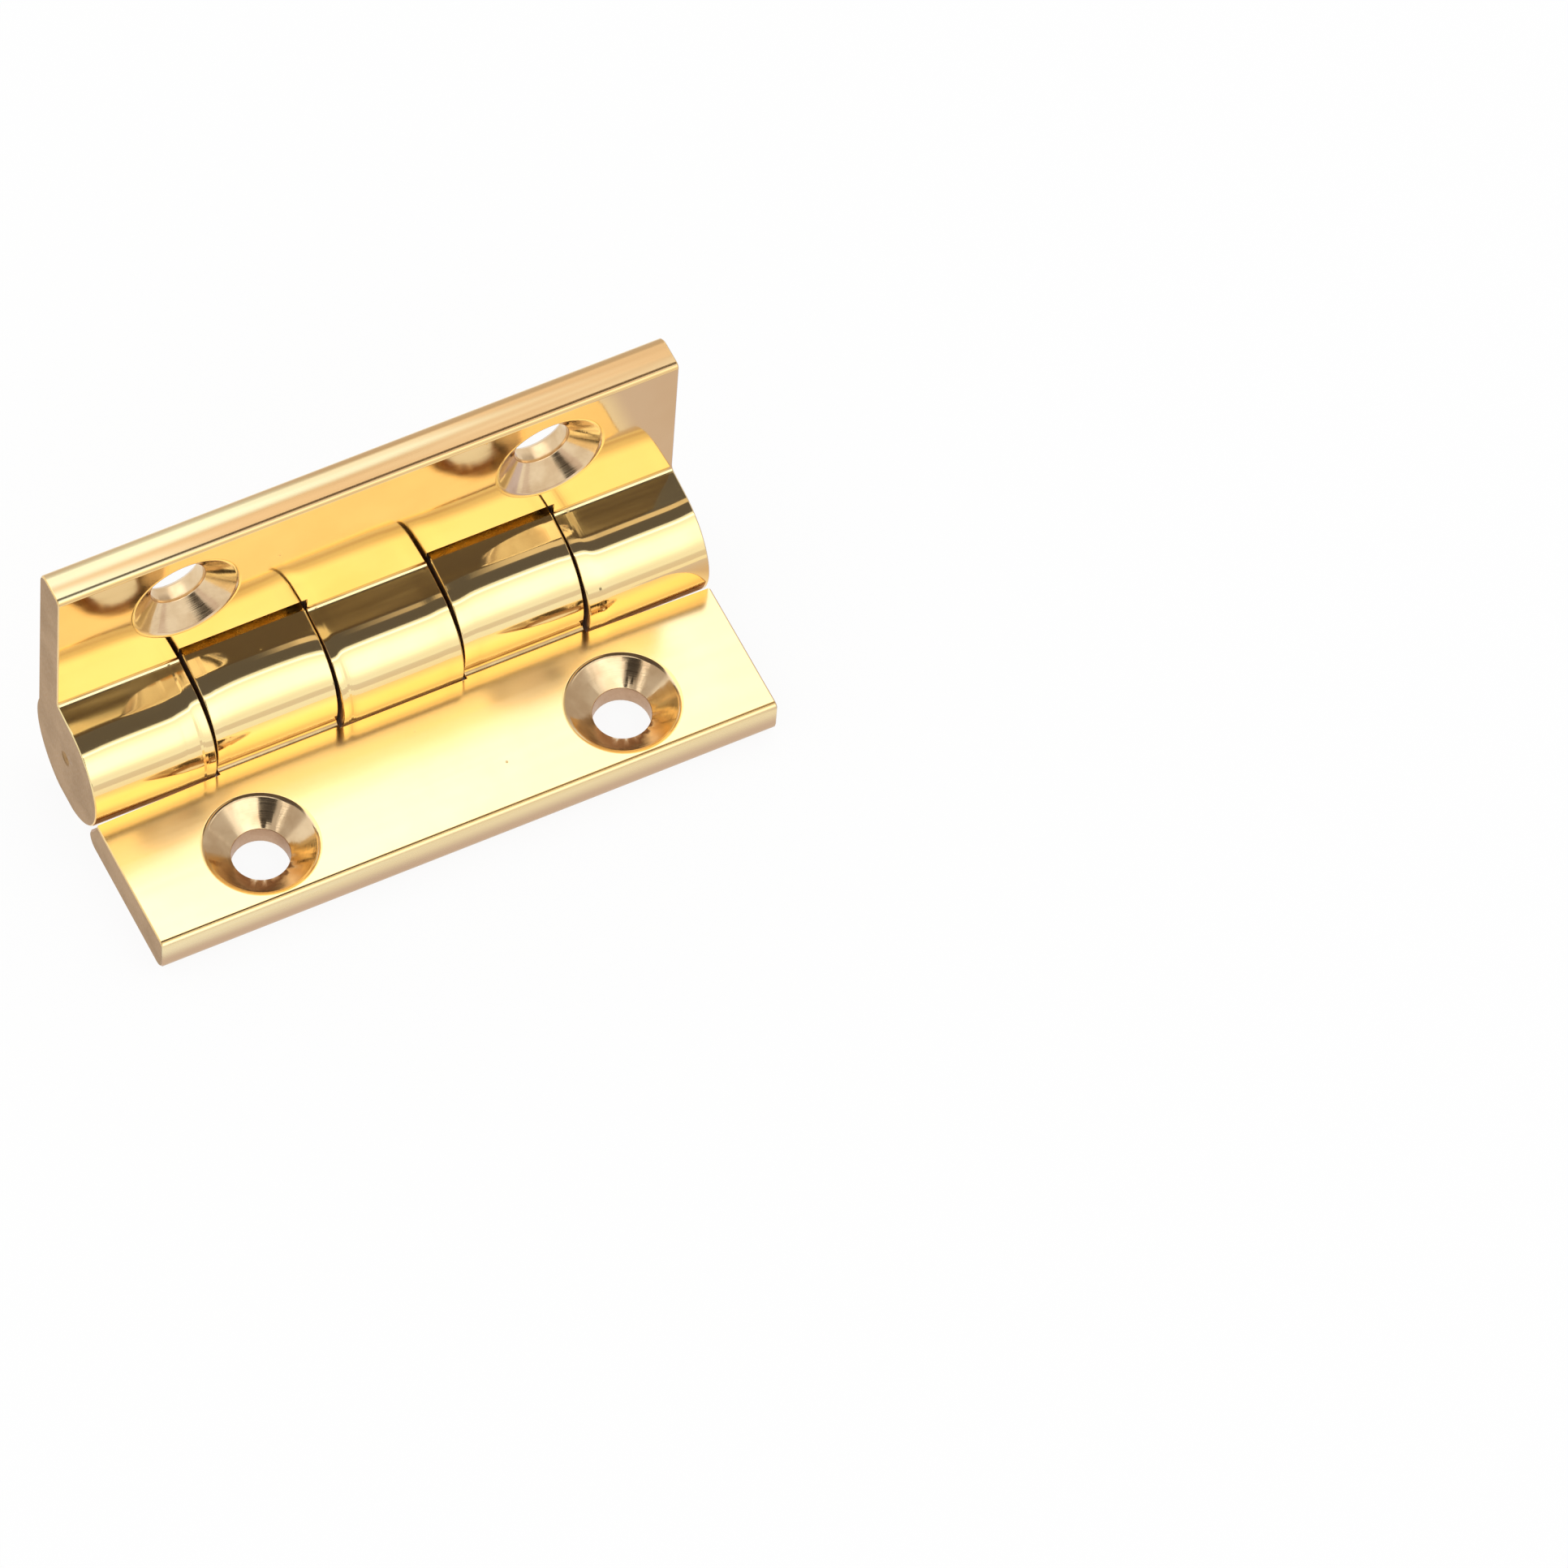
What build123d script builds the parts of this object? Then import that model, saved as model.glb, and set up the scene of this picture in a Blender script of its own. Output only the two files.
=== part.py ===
"""Lid stop hinge in solid brass: two thick leaves, five knuckles in one barrel, and the pin.

The base leaf lies flat with its countersinks up. The lid leaf stands at the stop, square to it.
Origin: midway between the base leaf's screw holes, on that leaf's flat back.
+X runs along the pin, +Y from the base leaf's free edge towards the pin, +Z up.
"""
import os
from math import cos, hypot, radians, sin, sqrt, tan

from build123d import *

os.makedirs("parts", exist_ok=True)

# Driving dimensions in millimetres
hinge_length = 50.0
barrel_radius = 5.0
base_thickness = 3.5
lid_thickness = 3.2
base_reach = 16.8
lid_reach = 18.6
pin_radius = 1.6
pin_running_clearance = 0.05
pin_dimple_radius = 0.65

# The barrel is shared out between the leaves in equal knuckles: lid, base, lid, base, lid
knuckle_count = 5
knuckle_gap = 0.2

# Each leaf stops short of the other leaf's knuckles by this much, measured square to the pin
base_edge_clearance = 0.4
lid_edge_clearance = 1.4

# The top of the barrel runs on as a flat that rises towards the lid at this angle
crown_rise = 8

# The heel is the squared back corner of a base knuckle, on which the opened lid leaf lands
heel_land = 2.6
heel_corner_radius = 0.6

# Countersunk screw holes, two in each leaf, with their back rims broken
screw_hole_radius = 2.2
countersink_radius = 4.25
countersink_angle = 110
hole_back_break = 0.4
screw_hole_end_margin = 10.3
base_hole_to_pin = 11.8
lid_hole_to_pin = 12.8

# Rounding of the long edges, where the polisher has run over them
face_edge_radius = 0.5
back_edge_radius = 1.0
nose_radius = 1.0
root_radius = 0.35
end_break = 0.12

# Places worked out from the sizes above
pin_y = base_hole_to_pin
pin_z = barrel_radius
face_offset = barrel_radius - base_thickness
lid_back_offset = face_offset + lid_thickness
base_cut_offset = barrel_radius + base_edge_clearance
lid_cut_offset = barrel_radius + lid_edge_clearance
swing_radius = hypot(base_cut_offset, face_offset)
root_offset = sqrt(barrel_radius**2 - face_offset**2)
half_length = hinge_length / 2
knuckle_pitch = (hinge_length + knuckle_gap) / knuckle_count
knuckle_width = knuckle_pitch - knuckle_gap
hole_spacing = hinge_length - 2 * screw_hole_end_margin
crown_start = (-barrel_radius * sin(radians(crown_rise)), barrel_radius * cos(radians(crown_rise)))

# Sections are drawn looking along the pin, from its axis: first Y, then Z
section = Plane(origin=(0, pin_y, pin_z), x_dir=(0, 1, 0), z_dir=(1, 0, 0))


def knuckle_middle(index):
    """Place along the pin of the middle of one knuckle, counted from the -X end."""
    return (index - (knuckle_count - 1) / 2) * knuckle_pitch


lid_knuckles = [knuckle_middle(index) for index in range(0, knuckle_count, 2)]
base_knuckles = [knuckle_middle(index) for index in range(1, knuckle_count, 2)]


def box_between(low, high):
    """Adds the rectangle between two corners to the open sketch."""
    with Locations(((low[0] + high[0]) / 2, (low[1] + high[1]) / 2)):
        Rectangle(high[0] - low[0], high[1] - low[1])


def crown_height(y):
    """Height of the barrel's top flat above the pin axis at one distance behind the axis."""
    return crown_start[1] + (y - crown_start[0]) * tan(radians(crown_rise))


def add_crown(y):
    """Adds the flat top between the round of the barrel and one distance behind the axis."""
    Polygon((0, 0), (y, 0), (y, crown_height(y)), crown_start, align=None)


def corner(sketch, y, z):
    """The corner of an open sketch that lies nearest to a point of the section."""
    return sketch.vertices().sort_by_distance((y, z, 0))[0]


def hole_rims(leaf):
    """The circles at both ends of the straight part of the screw holes."""
    circles = leaf.edges().filter_by(GeomType.CIRCLE)
    return circles.filter_by(lambda edge: abs(edge.radius - screw_hole_radius) < 0.001)


with BuildPart() as base_leaf:
    # Two knuckles, each with its root in the leaf and the squared heel behind the pin
    for middle in base_knuckles:
        with BuildSketch(section.offset(middle - knuckle_width / 2)) as base_knuckle:
            Circle(barrel_radius)
            add_crown(barrel_radius - heel_land)
            box_between((-base_cut_offset - nose_radius, -barrel_radius), (0, -face_offset))
            box_between((barrel_radius - heel_land, 0), (barrel_radius, lid_cut_offset))
            fillet(corner(base_knuckle, -root_offset, -face_offset), root_radius)
            fillet(corner(base_knuckle, barrel_radius, lid_cut_offset), heel_corner_radius)
        extrude(amount=knuckle_width)
    chamfer(base_leaf.faces().filter_by(Axis.X).edges(), end_break)

    # Flat leaf over the whole length, cut concave where the lid's knuckles turn behind it
    with BuildSketch(section.offset(-half_length)) as base_plate:
        box_between((-base_reach, -barrel_radius), (0, -face_offset))
        Circle(swing_radius, mode=Mode.SUBTRACT)
        fillet(corner(base_plate, 0, -barrel_radius), nose_radius)
        fillet(corner(base_plate, -base_reach, -face_offset), face_edge_radius)
        fillet(corner(base_plate, -base_reach, -barrel_radius), back_edge_radius)
    extrude(amount=hinge_length)
    chamfer(base_leaf.faces().filter_by(Axis.X).sort_by(Axis.X)[0].edges(), end_break)
    chamfer(base_leaf.faces().filter_by(Axis.X).sort_by(Axis.X)[-1].edges(), end_break)

    # Bore in which the pin turns
    with BuildSketch(section.offset(-half_length)):
        Circle(pin_radius + pin_running_clearance)
    extrude(amount=hinge_length, mode=Mode.SUBTRACT)

    with Locations(Plane.XY.offset(base_thickness)):
        with GridLocations(hole_spacing, 1, 2, 1):
            CounterSinkHole(screw_hole_radius, countersink_radius, base_thickness, countersink_angle)
    chamfer(hole_rims(base_leaf).group_by(Axis.Z)[0], hole_back_break)

base_leaf.part.label = "base_leaf"
export_step(base_leaf.part, "parts/base_leaf.step")


with BuildPart() as lid_leaf:
    # Three knuckles, the middle one and the two at the ends, round the whole way
    for middle in lid_knuckles:
        with BuildSketch(section.offset(middle - knuckle_width / 2)) as lid_knuckle:
            Circle(barrel_radius)
            add_crown(face_offset)
            box_between((face_offset, 0), (lid_back_offset, lid_cut_offset + heel_corner_radius))
            fillet(corner(lid_knuckle, face_offset, crown_height(face_offset)), root_radius)
        extrude(amount=knuckle_width)
    chamfer(lid_leaf.faces().filter_by(Axis.X).sort_by(Axis.X)[1:-1].edges(), end_break)

    # Upright leaf over the whole length, its lower edge flat where it lands on the heels
    with BuildSketch(section.offset(-half_length)) as lid_plate:
        box_between((face_offset, lid_cut_offset), (lid_back_offset, lid_reach))
        fillet(corner(lid_plate, lid_back_offset, lid_cut_offset), heel_corner_radius)
        fillet(corner(lid_plate, face_offset, lid_reach), face_edge_radius)
        fillet(corner(lid_plate, lid_back_offset, lid_reach), back_edge_radius)
    extrude(amount=hinge_length)
    chamfer(lid_leaf.faces().filter_by(Axis.X).sort_by(Axis.X)[0].edges(), end_break)
    chamfer(lid_leaf.faces().filter_by(Axis.X).sort_by(Axis.X)[-1].edges(), end_break)

    # Bore into which the pin is pressed
    with BuildSketch(section.offset(-half_length)):
        Circle(pin_radius)
    extrude(amount=hinge_length, mode=Mode.SUBTRACT)

    with Locations(Plane.XZ.offset(-pin_y - face_offset)):
        with Locations((0, pin_z + lid_hole_to_pin)):
            with GridLocations(hole_spacing, 1, 2, 1):
                CounterSinkHole(screw_hole_radius, countersink_radius, lid_thickness, countersink_angle)
    chamfer(hole_rims(lid_leaf).group_by(Axis.Y)[-1], hole_back_break)

lid_leaf.part.label = "lid_leaf"
export_step(lid_leaf.part, "parts/lid_leaf.step")


with BuildPart() as hinge_pin:
    # Half section of the pin, turned about its own axis, with a centre mark in each end
    with BuildSketch(Plane(origin=(0, pin_y, pin_z), x_dir=(1, 0, 0), z_dir=(0, -1, 0))):
        with BuildLine():
            Polyline(
                (-half_length + pin_dimple_radius, 0),
                (-half_length, pin_dimple_radius),
                (-half_length, pin_radius),
                (half_length, pin_radius),
                (half_length, pin_dimple_radius),
                (half_length - pin_dimple_radius, 0),
                close=True,
            )
        make_face()
    revolve(axis=Axis((0, pin_y, pin_z), (1, 0, 0)))

hinge_pin.part.label = "hinge_pin"
export_step(hinge_pin.part, "parts/hinge_pin.step")
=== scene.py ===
"""Lid stop hinge in solid brass, dressed for its picture.

The two leaves and the pin are taken over from the frame. Their knuckles are set as the fitter
left them, the rims of their holes are softened, and each surface gets the finish it has on the
real hinge: mirror polish on the barrel and the upright leaf, a softer polish on the flat leaf,
fine brushing on the long edges, a sawn and dulled finish on the ends, turned rings in the
countersinks and plain dull metal inside the joints. Painted shade darkens the roots of the
knuckles, the lid leaf's lower edge, the heel wall and the low front edge, and a painted warm
reflection tints the lower barrel. Lengths are in metres.
"""

import math

import bmesh
import bpy
from mathutils import Matrix, Vector


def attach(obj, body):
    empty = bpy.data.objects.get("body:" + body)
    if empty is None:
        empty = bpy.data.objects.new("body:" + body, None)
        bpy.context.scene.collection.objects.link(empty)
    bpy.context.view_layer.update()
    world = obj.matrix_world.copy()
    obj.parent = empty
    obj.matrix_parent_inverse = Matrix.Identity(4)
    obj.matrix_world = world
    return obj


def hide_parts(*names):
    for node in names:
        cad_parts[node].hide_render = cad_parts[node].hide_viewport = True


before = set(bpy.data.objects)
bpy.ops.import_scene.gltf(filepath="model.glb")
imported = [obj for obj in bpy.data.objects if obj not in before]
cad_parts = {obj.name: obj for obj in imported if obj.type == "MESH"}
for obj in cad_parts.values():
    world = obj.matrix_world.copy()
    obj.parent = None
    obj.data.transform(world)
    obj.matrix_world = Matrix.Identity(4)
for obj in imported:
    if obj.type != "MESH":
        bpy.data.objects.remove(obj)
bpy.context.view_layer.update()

MM = 0.001

# Sizes of the hinge that the finishing works to
half_length = 25.0 * MM
pin_y = 11.8 * MM
pin_z = 5.0 * MM
knuckle_pitch = 10.04 * MM
knuckle_width = 9.84 * MM
lid_knuckle_middles = [-2 * knuckle_pitch, 0.0, 2 * knuckle_pitch]
base_knuckle_middles = [-knuckle_pitch, knuckle_pitch]
base_front = pin_y - 16.8 * MM
hole_offset = 14.7 * MM
base_hole_y = 0.0
lid_hole_z = pin_z + 12.8 * MM
countersink_radius = 4.25 * MM

# How the hand-polished barrel departs from a true cylinder
lid_knuckle_shift = Vector((0.0, -0.25, -0.25)) * MM
base_knuckle_shift = Vector((0.0, 0.25, 0.25)) * MM

# How far each knuckle's polish is turned about the pin: millimetres along the hinge, degrees
knuckle_lean = [
    (-25.0, -4.9),
    (-24.0, -4.3),
    (-22.5, -3.5),
    (-18.0, -3.1),
    (-17.2, -1.9),
    (-16.2, 0.2),
    (-15.16, 4.0),
    (-14.96, -3.6),
    (-13.8, -2.3),
    (-10.0, -0.4),
    (-7.5, -1.0),
    (-6.0, -2.3),
    (-5.12, -4.4),
    (-4.92, -5.6),
    (-4.3, -4.4),
    (-3.4, -1.0),
    (3.0, -0.6),
    (4.92, 0.9),
    (5.12, -5.6),
    (6.0, -4.9),
    (7.4, -3.0),
    (10.0, -2.5),
    (13.8, -2.9),
    (14.96, -3.8),
    (15.16, 4.2),
    (16.2, 2.4),
    (17.4, -1.0),
    (22.5, -1.0),
    (25.0, 0.6),
]

# The turn is scaled to this many degrees, and is held to this far across the round
most_lean = 6.0
lean_reach = 2.4 * MM
lean_height = 1.6 * MM

# Direction across the round, in Y and Z, along which the turn tilts the polish
lean_across_y = 0.883
lean_across_z = 0.469

# Rims of the screw holes: how far each is softened, and the distance that tells them apart
outer_rim_width = 0.24 * MM
inner_rim_width = 0.06 * MM
rim_divide = 3.5 * MM

# Edges sharper than this many degrees stay sharp to the eye
sharp_edge = 52

# The white floor glows by this share where it is seen directly or mirrored
floor_glow = 0.9


# Helpers for shader nodes


def new_group(name, inputs, outputs):
    """A shader node group with float, vector or colour sockets, and its two end nodes."""
    kinds = {"value": "NodeSocketFloat", "vector": "NodeSocketVector", "colour": "NodeSocketColor"}
    group = bpy.data.node_groups.new(name, "ShaderNodeTree")
    for socket, kind, default in inputs:
        made = group.interface.new_socket(socket, in_out="INPUT", socket_type=kinds[kind])
        if default is not None:
            made.default_value = default
    for socket, kind in outputs:
        group.interface.new_socket(socket, in_out="OUTPUT", socket_type=kinds[kind])
    return group, group.nodes.new("NodeGroupInput"), group.nodes.new("NodeGroupOutput")


def add_node(tree, kind, values=None, **settings):
    """A node of one kind with its settings and the values of its unlinked inputs."""
    made = tree.nodes.new(kind)
    for key, setting in settings.items():
        setattr(made, key, setting)
    for socket, value in (values or {}).items():
        made.inputs[socket].default_value = value
    return made


def math_node(tree, operation, first, second=None):
    """A Math node whose inputs are sockets or plain numbers. Returns its output."""
    made = add_node(tree, "ShaderNodeMath", operation=operation)
    for place, value in enumerate((first, second)):
        if value is None:
            continue
        if isinstance(value, (int, float)):
            made.inputs[place].default_value = value
        else:
            tree.links.new(value, made.inputs[place])
    return made.outputs[0]


def map_range(tree, value, low_in, high_in, low_out, high_out, smooth=False):
    """A clamped Map Range node on one socket. Returns its output."""
    made = add_node(tree, "ShaderNodeMapRange", interpolation_type="SMOOTHSTEP" if smooth else "LINEAR")
    tree.links.new(value, made.inputs["Value"])
    for socket, number in (
        ("From Min", low_in),
        ("From Max", high_in),
        ("To Min", low_out),
        ("To Max", high_out),
    ):
        made.inputs[socket].default_value = number
    return made.outputs["Result"]


def mapped(tree, vector, scale, rotation=(0.0, 0.0, 0.0)):
    """A vector socket stretched by a Mapping node."""
    made = add_node(tree, "ShaderNodeMapping", {"Scale": scale, "Rotation": rotation})
    tree.links.new(vector, made.inputs["Vector"])
    return made.outputs["Vector"]


def noise(tree, vector, scale, detail, roughness):
    """A Noise texture on a vector socket. Returns its value."""
    values = {"Scale": scale, "Detail": detail, "Roughness": roughness}
    made = add_node(tree, "ShaderNodeTexNoise", values)
    tree.links.new(vector, made.inputs["Vector"])
    return made.outputs["Fac"]


def blend_colours(tree, share, first, second):
    """A blend of two colours, each a socket or a plain colour. Returns its output."""
    blend = add_node(tree, "ShaderNodeMix", data_type="RGBA")
    tree.links.new(share, blend.inputs["Factor"])
    for place, colour in ((6, first), (7, second)):
        if isinstance(colour, tuple):
            blend.inputs[place].default_value = colour
        else:
            tree.links.new(colour, blend.inputs[place])
    return blend.outputs[2]


# Effects that several finishes share


def make_ripple_group():
    """Long shallow waves left by the polishing wheel, and a few small casting pits."""
    group, start, end = new_group(
        "wheel_ripple",
        [("Vector", "vector", None), ("Waves", "value", 150.0), ("Pits", "value", 420.0)],
        [("Height", "value"), ("Pit", "value")],
    )
    vector = start.outputs["Vector"]
    wide = add_node(group, "ShaderNodeTexNoise", {"Detail": 1.0, "Roughness": 0.4})
    group.links.new(mapped(group, vector, (0.6, 1.0, 1.0)), wide.inputs["Vector"])
    group.links.new(start.outputs["Waves"], wide.inputs["Scale"])
    cells = add_node(group, "ShaderNodeTexVoronoi", {"Randomness": 1.0})
    group.links.new(vector, cells.inputs["Vector"])
    group.links.new(start.outputs["Pits"], cells.inputs["Scale"])
    chosen = add_node(group, "ShaderNodeSeparateColor")
    group.links.new(cells.outputs["Color"], chosen.inputs["Color"])
    reach = map_range(group, chosen.outputs["Red"], 0.80, 1.0, 0.0, 0.055)
    near = math_node(group, "LESS_THAN", cells.outputs["Distance"], reach)
    group.links.new(wide.outputs["Fac"], end.inputs["Height"])
    group.links.new(near, end.inputs["Pit"])
    return group


def make_line_group():
    """Fine lines along X, as from a brush or a belt."""
    group, start, end = new_group(
        "belt_lines",
        [("Vector", "vector", None), ("Fineness", "value", 1.0)],
        [("Lines", "value"), ("Patches", "value")],
    )
    vector = start.outputs["Vector"]
    fine = add_node(group, "ShaderNodeTexNoise", {"Detail": 3.0, "Roughness": 0.65})
    group.links.new(mapped(group, vector, (90.0, 5200.0, 5200.0)), fine.inputs["Vector"])
    group.links.new(start.outputs["Fineness"], fine.inputs["Scale"])
    broad = add_node(group, "ShaderNodeTexNoise", {"Detail": 2.0, "Roughness": 0.5})
    group.links.new(mapped(group, vector, (45.0, 1300.0, 1300.0)), broad.inputs["Vector"])
    group.links.new(start.outputs["Fineness"], broad.inputs["Scale"])
    group.links.new(fine.outputs["Fac"], end.inputs["Lines"])
    group.links.new(broad.outputs["Fac"], end.inputs["Patches"])
    return group


def make_turning_group():
    """Rings round the two screw holes, which lie across the vector's third direction."""
    group, start, end = new_group(
        "turned_rings",
        [("Vector", "vector", None), ("Centre Y", "value", 0.0)],
        [("Rings", "value"), ("Depth", "value")],
    )
    parts = add_node(group, "ShaderNodeSeparateXYZ")
    group.links.new(start.outputs["Vector"], parts.inputs["Vector"])
    folded = math_node(group, "ABSOLUTE", parts.outputs["X"])
    along = math_node(group, "SUBTRACT", folded, hole_offset)
    across = math_node(group, "SUBTRACT", parts.outputs["Y"], start.outputs["Centre Y"])
    along_square = math_node(group, "MULTIPLY", along, along)
    across_square = math_node(group, "MULTIPLY", across, across)
    radius = math_node(group, "SQRT", math_node(group, "ADD", along_square, across_square))
    flat = add_node(group, "ShaderNodeCombineXYZ")
    group.links.new(radius, flat.inputs["X"])
    rings = noise(group, flat.outputs["Vector"], 9000.0, 3.0, 0.6)
    group.links.new(rings, end.inputs["Rings"])
    group.links.new(math_node(group, "DIVIDE", radius, countersink_radius), end.inputs["Depth"])
    return group


def make_tone_group():
    """Slow change of the brass between its lighter and its warmer tone."""
    group, start, end = new_group(
        "brass_tone",
        [
            ("Vector", "vector", None),
            ("Light", "colour", (0.96, 0.78, 0.40, 1.0)),
            ("Warm", "colour", (0.95, 0.73, 0.33, 1.0)),
            ("Patch", "value", 130.0),
        ],
        [("Color", "colour")],
    )
    patches = add_node(group, "ShaderNodeTexNoise", {"Detail": 3.0, "Roughness": 0.55})
    group.links.new(start.outputs["Vector"], patches.inputs["Vector"])
    group.links.new(start.outputs["Patch"], patches.inputs["Scale"])
    share = map_range(group, patches.outputs["Fac"], 0.35, 0.7, 0.0, 1.0, smooth=True)
    colour = blend_colours(group, share, start.outputs["Light"], start.outputs["Warm"])
    group.links.new(colour, end.inputs["Color"])
    return group


def make_lean_group():
    """The slight turn of each knuckle's polish about the pin, as a height across the barrel."""
    group, start, end = new_group("knuckle_lean", [("Vector", "vector", None)], [("Height", "value")])
    parts = add_node(group, "ShaderNodeSeparateXYZ")
    group.links.new(start.outputs["Vector"], parts.inputs["Vector"])
    place = map_range(group, parts.outputs["X"], -half_length, half_length, 0.0, 1.0)
    curve = add_node(group, "ShaderNodeFloatCurve")
    group.links.new(place, curve.inputs["Value"])
    points = curve.mapping.curves[0].points
    for number, (along, degrees) in enumerate(knuckle_lean):
        spot = (along * MM / (2 * half_length) + 0.5, degrees / (2 * most_lean) + 0.5)
        if number == 0:
            points[0].location = spot
        elif number == len(knuckle_lean) - 1:
            points[len(points) - 1].location = spot
        else:
            points.new(*spot)
    for point in points:
        point.handle_type = "AUTO_CLAMPED"
    curve.mapping.update()
    most = math.radians(most_lean)
    lean = map_range(group, curve.outputs["Value"], 0.0, 1.0, -most, most)
    behind = math_node(group, "SUBTRACT", parts.outputs["Y"], pin_y)
    above = math_node(group, "SUBTRACT", parts.outputs["Z"], pin_z)
    across = math_node(
        group,
        "ADD",
        math_node(group, "MULTIPLY", behind, lean_across_y),
        math_node(group, "MULTIPLY", above, lean_across_z),
    )
    held = map_range(group, across, -lean_reach, lean_reach, -lean_height, lean_height, smooth=True)
    group.links.new(math_node(group, "MULTIPLY", lean, held), end.inputs["Height"])
    return group


ripple_group = make_ripple_group()
lean_group = make_lean_group()
line_group = make_line_group()
turning_group = make_turning_group()
tone_group = make_tone_group()


def place_group(tree, group, vector, **values):
    """A group in a material, fed with coordinates and its own values."""
    made = add_node(tree, "ShaderNodeGroup", node_tree=group)
    tree.links.new(vector, made.inputs["Vector"])
    for socket, value in values.items():
        made.inputs[socket.replace("_", " ")].default_value = value
    return made


# Finishes


def new_brass(name):
    """A metal material, its node tree, its shader and the object coordinates."""
    material = bpy.data.materials.new(name)
    material.use_nodes = True
    tree = material.node_tree
    shader = tree.nodes["Principled BSDF"]
    shader.inputs["Metallic"].default_value = 1.0
    places = add_node(tree, "ShaderNodeTexCoord")
    return material, tree, shader, places.outputs["Object"]


def bump(tree, shader, layers):
    """A chain of Bump nodes, one for each pair of height socket and height in metres."""
    normal = None
    for height, distance in layers:
        made = add_node(tree, "ShaderNodeBump", {"Strength": 1.0, "Distance": distance})
        tree.links.new(height, made.inputs["Height"])
        if normal is not None:
            tree.links.new(normal, made.inputs["Normal"])
        normal = made.outputs["Normal"]
    tree.links.new(normal, shader.inputs["Normal"])


def make_polished_brass(name, smoothest, roughest, wave_height, light, warm, leaning=False):
    """Polish with long waves, faint wheel lines, rare pits and a slight change of tone.

    The leaning polish of the barrel also turns from knuckle to knuckle, and lower down its colour
    warms, a painted warm tint in the reflection of the leaf.
    """
    material, tree, shader, vector = new_brass(name)
    tone = place_group(tree, tone_group, vector, Light=light, Warm=warm)
    colour = tone.outputs["Color"]
    ripple = place_group(tree, ripple_group, vector)
    lines = place_group(tree, line_group, vector, Fineness=0.7)
    rough = math_node(
        tree,
        "ADD",
        map_range(tree, lines.outputs["Patches"], 0.3, 0.75, smoothest, roughest),
        math_node(tree, "MULTIPLY", ripple.outputs["Pit"], 0.35),
    )
    tree.links.new(rough, shader.inputs["Roughness"])
    layers = [
        (ripple.outputs["Height"], wave_height),
        (lines.outputs["Lines"], 0.00006 * MM),
        (math_node(tree, "MULTIPLY", ripple.outputs["Pit"], -1.0), 0.02 * MM),
    ]
    if leaning:
        lean = place_group(tree, lean_group, vector)
        layers.insert(0, (lean.outputs["Height"], 1.0))
        parts = add_node(tree, "ShaderNodeSeparateXYZ")
        tree.links.new(vector, parts.inputs["Vector"])
        # Painted reflection: towards the pin's height and below, the barrel colour turns warmer
        low = map_range(tree, parts.outputs["Z"], 7.6 * MM, 5.6 * MM, 0.0, 1.0, smooth=True)
        colour = blend_colours(tree, low, colour, (0.97, 0.62, 0.21, 1.0))
    tree.links.new(colour, shader.inputs["Base Color"])
    bump(tree, shader, layers)
    return material


def make_brushed_brass(name, light, warm, low=None):
    """Long edges drawn over a fine belt: streaks along the hinge between two tones.

    With a low tone the edge also turns to that tone towards its underside, a painted shade near the
    floor.
    """
    material, tree, shader, vector = new_brass(name)
    lines = place_group(tree, line_group, vector)
    streaks = place_group(tree, line_group, vector, Fineness=0.35)
    share = map_range(tree, streaks.outputs["Patches"], 0.38, 0.62, 0.0, 1.0, smooth=True)
    colour = blend_colours(tree, share, light, warm)
    if low is not None:
        parts = add_node(tree, "ShaderNodeSeparateXYZ")
        tree.links.new(vector, parts.inputs["Vector"])
        # Painted shade: the colour turns to the low tone towards the underside
        painted_shade_share = map_range(tree, parts.outputs["Z"], 2.9 * MM, 1.3 * MM, 0.0, 1.0, smooth=True)
        colour = blend_colours(tree, painted_shade_share, colour, low)
    tree.links.new(colour, shader.inputs["Base Color"])
    rough = map_range(tree, lines.outputs["Patches"], 0.3, 0.7, 0.18, 0.30)
    tree.links.new(rough, shader.inputs["Roughness"])
    bump(tree, shader, [(lines.outputs["Lines"], 0.0012 * MM), (lines.outputs["Patches"], 0.003 * MM)])
    return material


def make_end_brass():
    """Sawn ends, dressed and left dull: a soft tan with fine grain."""
    material, tree, shader, vector = new_brass("sawn_end_brass")
    light, warm = (0.46, 0.29, 0.14, 1.0), (0.37, 0.22, 0.09, 1.0)
    tone = place_group(tree, tone_group, vector, Light=light, Warm=warm, Patch=260.0)
    grain = noise(tree, mapped(tree, vector, (1.0, 1.0, 0.25)), 9000.0, 3.0, 0.7)
    tree.links.new(tone.outputs["Color"], shader.inputs["Base Color"])
    tree.links.new(map_range(tree, grain, 0.3, 0.7, 0.38, 0.55), shader.inputs["Roughness"])
    bump(tree, shader, [(grain, 0.004 * MM)])
    return material


def make_joint_brass():
    """Unpolished sides of the knuckles and the edges that face each other, gone brown."""
    material, tree, shader, vector = new_brass("joint_brass")
    light, warm = (0.58, 0.38, 0.24, 1.0), (0.44, 0.26, 0.15, 1.0)
    tone = place_group(tree, tone_group, vector, Light=light, Warm=warm, Patch=300.0)
    grain = noise(tree, vector, 7000.0, 3.0, 0.6)
    tree.links.new(tone.outputs["Color"], shader.inputs["Base Color"])
    tree.links.new(map_range(tree, grain, 0.3, 0.7, 0.3, 0.5), shader.inputs["Roughness"])
    bump(tree, shader, [(grain, 0.003 * MM)])
    return material


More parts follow.
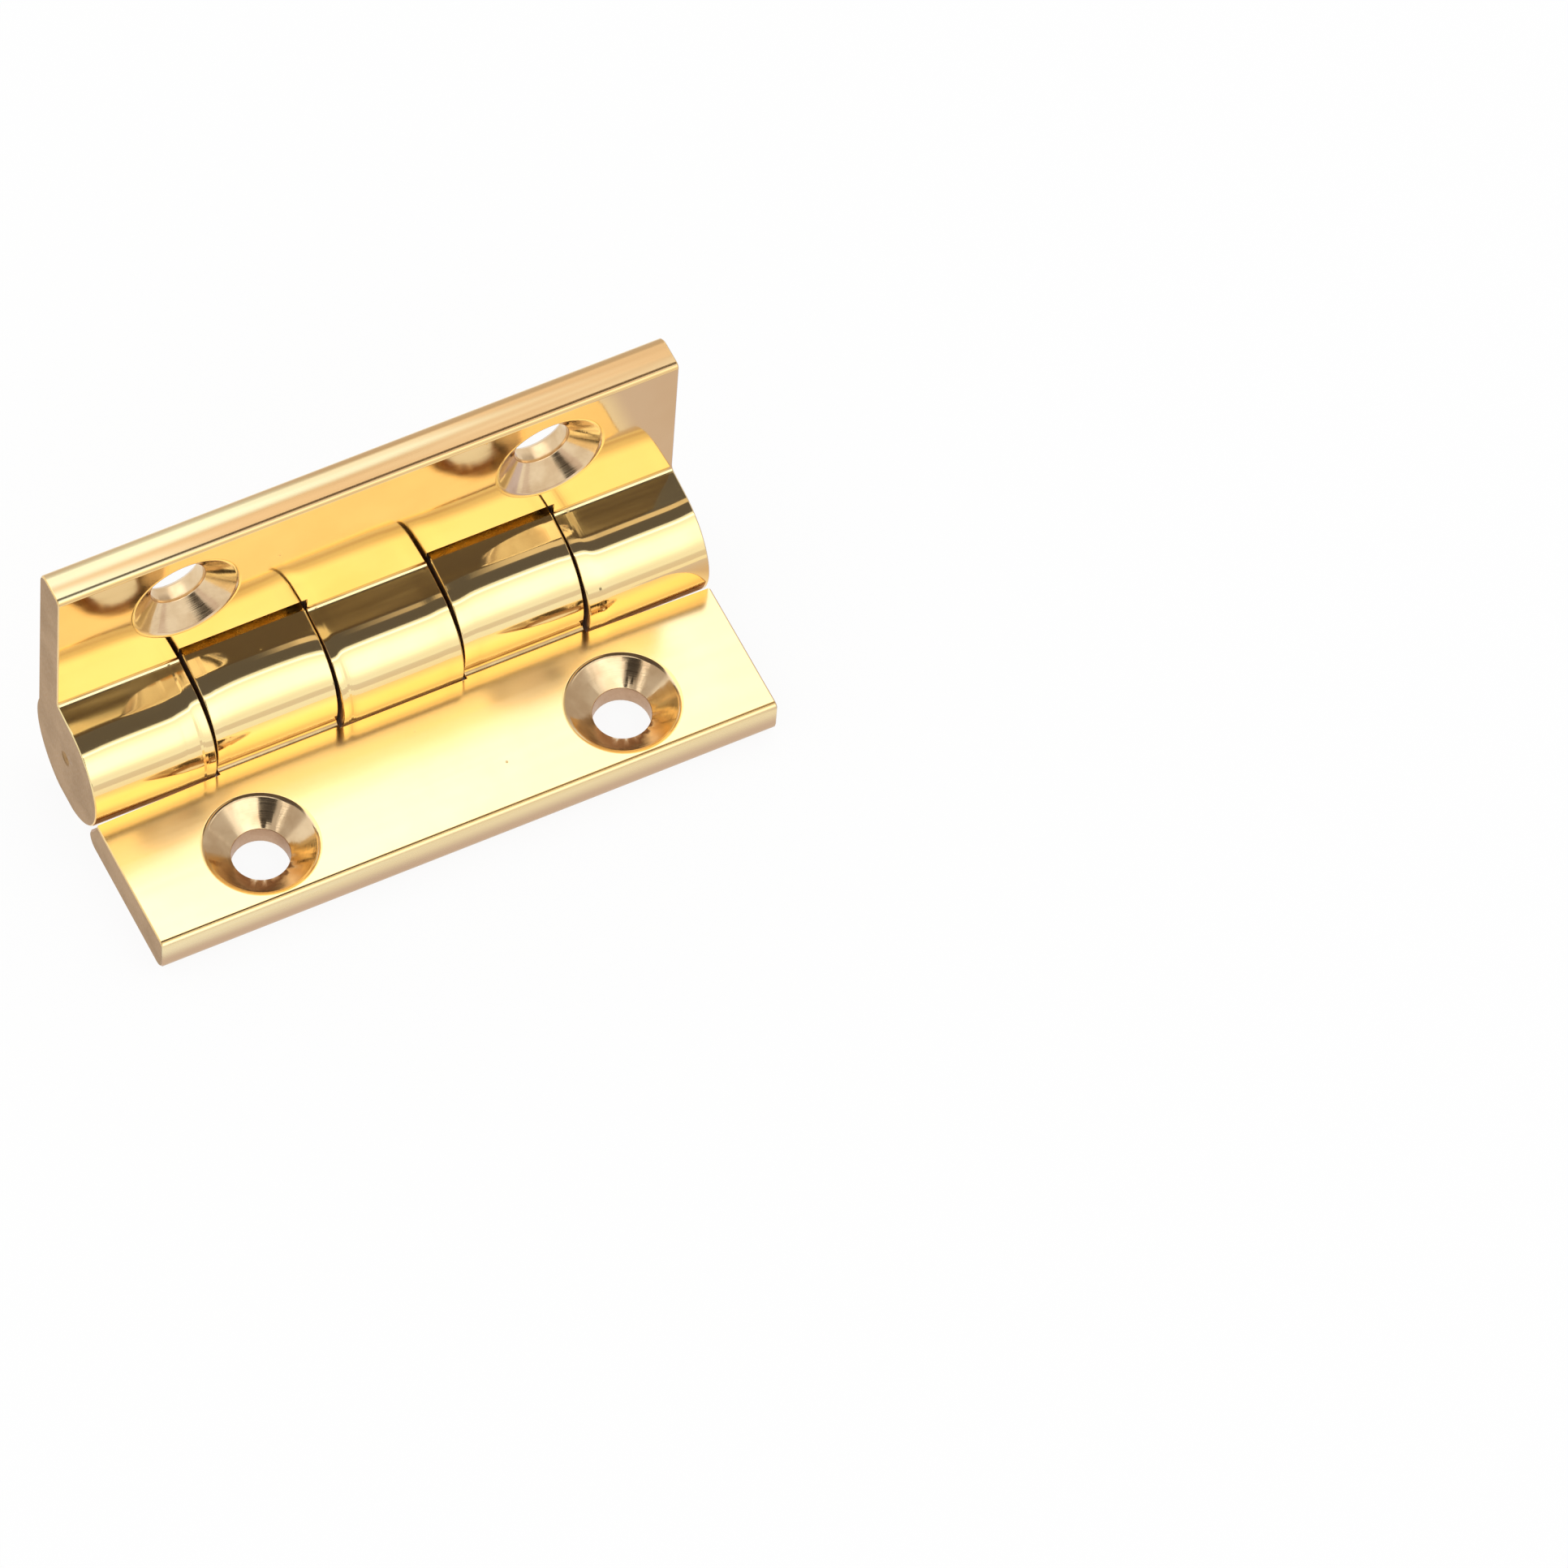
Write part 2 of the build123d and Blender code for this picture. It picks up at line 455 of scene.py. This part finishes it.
def make_countersink_brass(name, turn, centre):
    """Cone and hole as the countersink left them: fine rings, bright and slightly uneven."""
    material, tree, shader, vector = new_brass(name)
    light, warm = (0.82, 0.62, 0.38, 1.0), (0.66, 0.46, 0.26, 1.0)
    tone = place_group(tree, tone_group, vector, Light=light, Warm=warm, Patch=420.0)
    turned = mapped(tree, vector, (1.0, 1.0, 1.0), turn)
    rings = place_group(tree, turning_group, turned, Centre_Y=centre)
    tree.links.new(tone.outputs["Color"], shader.inputs["Base Color"])
    rough = map_range(tree, rings.outputs["Rings"], 0.3, 0.7, 0.07, 0.19)
    tree.links.new(rough, shader.inputs["Roughness"])
    bump(tree, shader, [(rings.outputs["Rings"], 0.004 * MM)])
    return material


def make_unpolished_painted_shade_brass(name, light, warm, smoothest=0.12):
    """Places that the polishing wheel can't reach: a soft grain, and a darker, warmer painted shade."""
    material, tree, shader, vector = new_brass(name)
    tone = place_group(tree, tone_group, vector, Light=light, Warm=warm, Patch=350.0)
    grain = noise(tree, mapped(tree, vector, (0.3, 1.0, 1.0)), 6000.0, 2.0, 0.6)
    tree.links.new(tone.outputs["Color"], shader.inputs["Base Color"])
    rough = map_range(tree, grain, 0.3, 0.7, smoothest, smoothest + 0.18)
    tree.links.new(rough, shader.inputs["Roughness"])
    bump(tree, shader, [(grain, 0.0006 * MM)])
    return material


def make_back_brass():
    """Flat backs as the mill left them, with broad faint lines."""
    material, tree, shader, vector = new_brass("milled_back_brass")
    light, warm = (0.85, 0.70, 0.38, 1.0), (0.80, 0.60, 0.28, 1.0)
    tone = place_group(tree, tone_group, vector, Light=light, Warm=warm)
    lines = place_group(tree, line_group, vector, Fineness=0.5)
    tree.links.new(tone.outputs["Color"], shader.inputs["Base Color"])
    rough = map_range(tree, lines.outputs["Lines"], 0.3, 0.7, 0.24, 0.40)
    tree.links.new(rough, shader.inputs["Roughness"])
    bump(tree, shader, [(lines.outputs["Lines"], 0.004 * MM), (lines.outputs["Patches"], 0.006 * MM)])
    return material


mirror_brass = make_polished_brass(
    "mirror_brass",
    smoothest=0.05,
    roughest=0.09,
    wave_height=0.05 * MM,
    light=(0.86, 0.61, 0.28, 1.0),
    warm=(0.83, 0.57, 0.25, 1.0),
)
# The barrel's colour carries a painted warm reflection on its lower part
barrel_brass = make_polished_brass(
    "barrel_brass",
    smoothest=0.05,
    roughest=0.09,
    wave_height=0.03 * MM,
    light=(0.96, 0.78, 0.40, 1.0),
    warm=(0.96, 0.76, 0.36, 1.0),
    leaning=True,
)
face_brass = make_polished_brass(
    "leaf_face_brass",
    smoothest=0.14,
    roughest=0.20,
    wave_height=0.02 * MM,
    light=(0.97, 0.79, 0.46, 1.0),
    warm=(0.96, 0.76, 0.42, 1.0),
)
# Painted shade: the fillet at the roots of the base knuckles is darkened in its colour
root_painted_shade_brass = make_unpolished_painted_shade_brass(
    "root_painted_shade_brass",
    light=(0.55, 0.40, 0.20, 1.0),
    warm=(0.42, 0.28, 0.12, 1.0),
)
# Painted shade: the lid leaf's downward-facing lower edge is darkened in its colour
under_edge_painted_shade_brass = make_unpolished_painted_shade_brass(
    "under_edge_painted_shade_brass",
    light=(0.64, 0.50, 0.28, 1.0),
    warm=(0.55, 0.39, 0.18, 1.0),
)
# Painted shade: the heel wall of the base leaf, tucked under the lid leaf, is darkened in its colour
heel_wall_painted_shade_brass = make_unpolished_painted_shade_brass(
    "heel_wall_painted_shade_brass",
    light=(0.25, 0.20, 0.13, 1.0),
    warm=(0.19, 0.14, 0.08, 1.0),
    smoothest=0.35,
)
top_edge_brass = make_brushed_brass(
    "top_edge_brass",
    light=(0.74, 0.67, 0.42, 1.0),
    warm=(0.56, 0.35, 0.16, 1.0),
)
# The low tone is painted shade along the underside of the base leaf's front edge
front_edge_brass = make_brushed_brass(
    "front_edge_brass",
    light=(0.90, 0.76, 0.46, 1.0),
    warm=(0.84, 0.66, 0.36, 1.0),
    low=(0.58, 0.39, 0.24, 1.0),
)
end_brass = make_end_brass()
joint_brass = make_joint_brass()
base_sink_brass = make_countersink_brass(
    "base_countersink_brass",
    turn=(0.0, 0.0, 0.0),
    centre=base_hole_y,
)
lid_sink_brass = make_countersink_brass(
    "lid_countersink_brass",
    turn=(math.radians(-90), 0.0, 0.0),
    centre=lid_hole_z,
)
back_brass = make_back_brass()


# Pieces


def take_over(node):
    """A merged copy of one frame node, with its flat facets joined into plain faces."""
    mesh = bmesh.new()
    mesh.from_mesh(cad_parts[node].data)
    bmesh.ops.remove_doubles(mesh, verts=mesh.verts, dist=0.002 * MM)
    flat_limit = math.radians(0.6)
    bmesh.ops.dissolve_limit(mesh, angle_limit=flat_limit, verts=mesh.verts[:], edges=mesh.edges[:])
    return mesh


def near_barrel(place, middle):
    """True for a place on the round of one knuckle or on its flat crown."""
    radius = math.hypot(place.y - pin_y, place.z - pin_z)
    inside = abs(place.x - middle) < knuckle_width / 2 + 0.01 * MM
    return inside and 4.5 * MM < radius < 5.95 * MM and place.z - pin_z < 5.7 * MM


def smooth_step(value, low, high):
    """0 below low, 1 above high, and an even change between them."""
    share = min(max((value - low) / (high - low), 0.0), 1.0)
    return share * share * (3 - 2 * share)


def settle_knuckles(mesh, middles, shift, is_lid):
    """Moves the round of the knuckles to where the fitter left it.

    The move fades out where a knuckle meets its leaf. Angles are counted round the pin: 0 is
    behind it, 90 above it, 180 in front of it and 270 below it.
    """
    for vert in mesh.verts:
        for middle in middles:
            if not near_barrel(vert.co, middle):
                continue
            y = (vert.co.y - pin_y) / MM
            z = (vert.co.z - pin_z) / MM
            angle = math.degrees(math.atan2(z, y)) % 360
            if is_lid:
                hold = smooth_step(angle, 330, 270) if angle > 200 else 1.0
                share_y = hold * smooth_step(y, 1.5, 0.3)
                share_z = hold
                if angle < 60:
                    share_y = share_z = 0.0
            else:
                if angle > 198 or angle < 60:
                    continue
                share_y = smooth_step(y, 2.3, 0.3)
                share_z = smooth_step(z, -1.5, -0.4)
            vert.co += Vector((0.0, shift.y * share_y, shift.z * share_z))
            break


def hole_distance(place, is_lid):
    """Distance of a place from the axis of the nearer screw hole."""
    across = place.z - lid_hole_z if is_lid else place.y - base_hole_y
    return math.hypot(abs(place.x) - hole_offset, across)


def soften_holes(mesh, is_lid):
    """Rounds the rims of the countersinks and holes a little, as polishing does."""
    rims = [
        edge
        for edge in mesh.edges
        if len(edge.link_faces) == 2
        and edge.calc_face_angle() > math.radians(30)
        and all(hole_distance(vert.co, is_lid) < countersink_radius + 0.05 * MM for vert in edge.verts)
    ]
    outer = [edge for edge in rims if hole_distance(edge.verts[0].co, is_lid) > rim_divide]
    inner = [edge for edge in rims if edge not in outer]
    bmesh.ops.bevel(
        mesh, geom=outer, offset=outer_rim_width, affect="EDGES", segments=4, profile=0.5, material=-1
    )
    inner = [edge for edge in inner if edge.is_valid]
    bmesh.ops.bevel(
        mesh, geom=inner, offset=inner_rim_width, affect="EDGES", segments=2, profile=0.5, material=-1
    )


# Finishes of a leaf, in the order of its slots. Each leaf brings its own for the countersinks
leaf_finishes = {
    "mirror": mirror_brass,
    "top edge": top_edge_brass,
    "end": end_brass,
    "joint": joint_brass,
    "countersink": None,
    "back": back_brass,
    "face": face_brass,
    "barrel": barrel_brass,
    # root, under edge and heel wall carry painted shade in their colour
    "root": root_painted_shade_brass,
    "under edge": under_edge_painted_shade_brass,
    "front edge": front_edge_brass,
    "heel wall": heel_wall_painted_shade_brass,
}


def leaf_finish(face, is_lid):
    """Name of the finish that one face of a leaf gets."""
    place = face.calc_center_median()
    normal = face.normal
    y, z = place.y - pin_y, place.z - pin_z
    radius = math.hypot(y, z)
    through = abs(normal.y if is_lid else normal.z)
    if hole_distance(place, is_lid) < countersink_radius - 0.02 * MM and through < 0.98:
        return "joint" if through < 0.3 and not is_lid else "countersink"
    if abs(normal.x) > 0.8:
        return "end" if abs(place.x) > half_length - 0.1 * MM else "joint"
    if radius < 4.2 * MM:
        return "joint"
    if is_lid:
        if normal.z > 0.8 and z > 18 * MM:
            return "top edge"
        # The lid's downward lower edge takes the brass with painted shade
        if normal.z < -0.8 and 5.9 * MM < z < 6.6 * MM:
            return "under edge"
        if radius < 5.3 * MM and y < 1.6 * MM and z < 5.3 * MM:
            return "barrel"
        return "back" if normal.y > 0.8 else "mirror"
    if normal.y < -0.5 and place.y < base_front + 1.0 * MM:
        return "front edge"
    if normal.z < -0.8 and place.z < 0.5 * MM:
        return "back"
    # The heel wall takes the brass with painted shade
    if normal.y < -0.8 and 2.2 * MM < y < 2.7 * MM and z > 5.0 * MM:
        return "heel wall"
    if radius > 5.25 * MM and y > -5.7 * MM and normal.y > 0.1 and place.y < pin_y:
        return "joint"
    # The fillet at the knuckle roots takes the brass with painted shade
    if -5.4 * MM < y < -4.7 * MM and -1.5 * MM < z < -1.0 * MM and abs(normal.x) < 0.5:
        return "root"
    if radius < 5.95 * MM and z > -1.3 * MM and y < 2.3 * MM:
        return "barrel"
    return "face" if normal.z > 0.999 and y < -4.5 * MM else "mirror"


def finish_piece(mesh, name, body, node, finishes):
    """Makes the object of a finished mesh, with smooth polished curves and flat sides."""
    mesh.normal_update()
    for face in mesh.faces:
        face.smooth = True
    for edge in mesh.edges:
        edge.smooth = len(edge.link_faces) == 2 and edge.calc_face_angle() < math.radians(sharp_edge)
    data = bpy.data.meshes.new(name)
    mesh.to_mesh(data)
    mesh.free()
    for material in finishes:
        data.materials.append(material)
    piece = bpy.data.objects.new(name, data)
    bpy.context.scene.collection.objects.link(piece)
    level = piece.modifiers.new("level_sides", "WEIGHTED_NORMAL")
    level.mode = "FACE_AREA"
    level.weight = 50
    level.keep_sharp = True
    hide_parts(node)
    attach(piece, body)


def make_leaf(node, name, body, middles, shift, is_lid, sink_brass):
    """One finished leaf, with its own turned finish in the countersinks."""
    mesh = take_over(node)
    settle_knuckles(mesh, middles, shift, is_lid)
    soften_holes(mesh, is_lid)
    mesh.normal_update()
    finishes = dict(leaf_finishes, countersink=sink_brass)
    order = list(finishes)
    for face in mesh.faces:
        face.material_index = order.index(leaf_finish(face, is_lid))
    finish_piece(mesh, name, body, node, finishes.values())


def make_pin():
    """The pin, dressed flush with the ends of the barrel."""
    mesh = take_over("hinge_pin")
    for face in mesh.faces:
        face.material_index = 0 if abs(face.normal.x) > 0.5 else 1
    finishes = [end_brass, joint_brass]
    finish_piece(mesh, "hinge_pin_dressed", "lid", "hinge_pin", finishes)


make_leaf(
    "base_leaf",
    "base_leaf_polished",
    "base",
    middles=base_knuckle_middles,
    shift=base_knuckle_shift,
    is_lid=False,
    sink_brass=base_sink_brass,
)
make_leaf(
    "lid_leaf",
    "lid_leaf_polished",
    "lid",
    middles=lid_knuckle_middles,
    shift=lid_knuckle_shift,
    is_lid=True,
    sink_brass=lid_sink_brass,
)
make_pin()


# Camera, at the viewing angle of the picture

camera_azimuth = math.radians(-30.221)
camera_elevation = math.radians(57.566)
camera_roll = math.radians(-4.718)
camera_distance = 1.18795
camera_lens = 372.7
barrel_end = Vector((-half_length, pin_y, pin_z))
aim_right = 52.585 * MM
aim_up = -1.8645 * MM


def make_camera():
    """The camera looks at a point beside the barrel's end, from far off with a long lens."""
    back = Vector(
        (
            math.sin(camera_azimuth) * math.cos(camera_elevation),
            -math.cos(camera_azimuth) * math.cos(camera_elevation),
            math.sin(camera_elevation),
        )
    )
    level = Vector((math.cos(camera_azimuth), math.sin(camera_azimuth), 0.0))
    upright = back.cross(level)
    right = level * math.cos(camera_roll) - upright * math.sin(camera_roll)
    up = level * math.sin(camera_roll) + upright * math.cos(camera_roll)
    aim = barrel_end + right * aim_right + up * aim_up
    place = aim + back * camera_distance
    data = bpy.data.cameras.new("picture_camera")
    data.lens = camera_lens
    data.sensor_width = 36.0
    data.clip_start = 0.05
    data.clip_end = 20.0
    camera = bpy.data.objects.new("picture_camera", data)
    bpy.context.scene.collection.objects.link(camera)
    turn = Matrix((right, up, back)).transposed().to_4x4()
    camera.matrix_world = Matrix.Translation(place) @ turn
    bpy.context.scene.camera = camera
    bpy.context.scene.view_settings.view_transform = "Standard"


make_camera()


# Studio: white floor, white surroundings, and cards that the polish mirrors

studio_middle = Vector((0.0, 6.0 * MM, 8.0 * MM))


def make_floor():
    """A plain white floor that keeps a faint shadow of the hinge."""
    mesh = bmesh.new()
    bmesh.ops.create_grid(mesh, x_segments=1, y_segments=1, size=6.0)
    data = bpy.data.meshes.new("studio_floor")
    mesh.to_mesh(data)
    mesh.free()
    floor = bpy.data.objects.new("studio_floor", data)
    bpy.context.scene.collection.objects.link(floor)
    material = bpy.data.materials.new("floor_white")
    material.use_nodes = True
    tree = material.node_tree
    tree.nodes.clear()
    end = add_node(tree, "ShaderNodeOutputMaterial")
    matt = add_node(tree, "ShaderNodeBsdfDiffuse", {"Color": (0.95, 0.95, 0.95, 1.0)})
    glow = add_node(tree, "ShaderNodeEmission", {"Color": (1.0, 1.0, 1.0, 1.0), "Strength": 1.0})
    path = add_node(tree, "ShaderNodeLightPath")
    seen = math_node(tree, "MAXIMUM", path.outputs["Is Camera Ray"], path.outputs["Is Glossy Ray"])
    seen = math_node(tree, "MAXIMUM", seen, path.outputs["Is Transmission Ray"])
    share = math_node(tree, "MULTIPLY", seen, floor_glow)
    blend = add_node(tree, "ShaderNodeMixShader")
    tree.links.new(share, blend.inputs[0])
    tree.links.new(matt.outputs[0], blend.inputs[1])
    tree.links.new(glow.outputs[0], blend.inputs[2])
    tree.links.new(blend.outputs[0], end.inputs["Surface"])
    data.materials.append(material)


def make_card(name, rise, distance, width, height, level, tint, soft, turn=0.0, side=0.0):
    """A card that faces the hinge and fades at its edges. Only reflections see it.

    It stands in front, rise degrees above the floor and turn degrees round to the right, and is
    moved sideways within its own plane. Its level is its brightness, and soft is the share of
    its width and height over which it fades.
    """
    mesh = bmesh.new()
    mesh.loops.layers.uv.new("card")
    bmesh.ops.create_grid(mesh, x_segments=1, y_segments=1, size=0.5, calc_uvs=True)
    bmesh.ops.scale(mesh, vec=(width, height, 1.0), verts=mesh.verts)
    stand = Matrix.Rotation(math.radians(90 - rise), 4, "X")
    away = Matrix.Translation(Vector((side, 0.0, distance)))
    swing = Matrix.Rotation(math.radians(turn), 4, "Z")
    middle = Matrix.Translation(studio_middle)
    bmesh.ops.transform(mesh, matrix=middle @ swing @ stand @ away, verts=mesh.verts)
    data = bpy.data.meshes.new(name)
    mesh.to_mesh(data)
    mesh.free()
    card = bpy.data.objects.new(name, data)
    bpy.context.scene.collection.objects.link(card)
    card.visible_camera = False
    card.visible_diffuse = False
    card.visible_shadow = False
    material = bpy.data.materials.new(name)
    material.use_nodes = True
    tree = material.node_tree
    tree.nodes.clear()
    end = add_node(tree, "ShaderNodeOutputMaterial")
    glow = add_node(tree, "ShaderNodeEmission", {"Color": (*tint, 1.0), "Strength": level})
    clear = add_node(tree, "ShaderNodeBsdfTransparent")
    places = add_node(tree, "ShaderNodeTexCoord")
    parts = add_node(tree, "ShaderNodeSeparateXYZ")
    tree.links.new(places.outputs["UV"], parts.inputs["Vector"])
    shares = []
    for axis in ("X", "Y"):
        centred = math_node(tree, "ABSOLUTE", math_node(tree, "SUBTRACT", parts.outputs[axis], 0.5))
        shares.append(map_range(tree, centred, 0.5, 0.5 - soft, 0.0, 1.0, smooth=True))
    share = math_node(tree, "MULTIPLY", shares[0], shares[1])
    blend = add_node(tree, "ShaderNodeMixShader")
    tree.links.new(share, blend.inputs[0])
    tree.links.new(clear.outputs[0], blend.inputs[1])
    tree.links.new(glow.outputs[0], blend.inputs[2])
    tree.links.new(blend.outputs[0], end.inputs["Surface"])
    data.materials.append(material)


def make_world():
    """Even white surroundings."""
    world = bpy.data.worlds.new("studio_white")
    world.use_nodes = True
    glow = world.node_tree.nodes["Background"]
    glow.inputs["Color"].default_value = (1.0, 1.0, 1.0, 1.0)
    glow.inputs["Strength"].default_value = 1.0
    bpy.context.scene.world = world


make_floor()
make_card("dark_ceiling_card", 91.3, 0.58, 1.3, 0.382, 0.12, (1.0, 0.86, 0.85), soft=0.06)
make_card("ceiling_strip_card", 96.5, 0.55, 0.35, 0.085, 0.80, (1.0, 0.78, 0.55), soft=0.13, side=0.30)
make_card("front_window_card", 41.0, 0.6, 1.0, 0.69, 1.85, (1.0, 1.0, 1.0), soft=0.42)
make_card("front_low_card", -1.5, 0.07, 0.5, 0.018, 0.78, (1.0, 0.91, 0.92), soft=0.2)
make_card("back_lamp_card", 120.0, 0.6, 0.9, 0.5, 1.75, (1.0, 1.0, 1.0), soft=0.4)
make_card("lens_card", 54.5, 0.3, 0.14, 0.14, 0.05, (1.0, 0.90, 0.85), soft=0.12, turn=-40.8)
make_card("front_shade_card", 3.0, 0.25, 0.115, 0.068, 0.05, (1.0, 0.90, 0.80), soft=0.15, turn=-13.0)
make_card("left_wall_card", 33.0, 0.6, 0.7, 0.75, 0.62, (1.0, 0.94, 0.90), soft=0.2, turn=-78.0)
make_card("right_wall_card", 28.0, 0.6, 0.9, 0.75, 0.62, (1.0, 0.94, 0.90), soft=0.2, turn=88.0)
make_card("floor_shade_card", -90.0, 0.0078, 0.055, 0.06, 0.80, (0.89, 0.83, 1.0), soft=0.04, side=0.0532)
make_card("near_strip_card", 71.8, 0.0689, 0.3, 0.006, 2.0, (1.0, 1.0, 1.0), soft=0.3)
make_world()
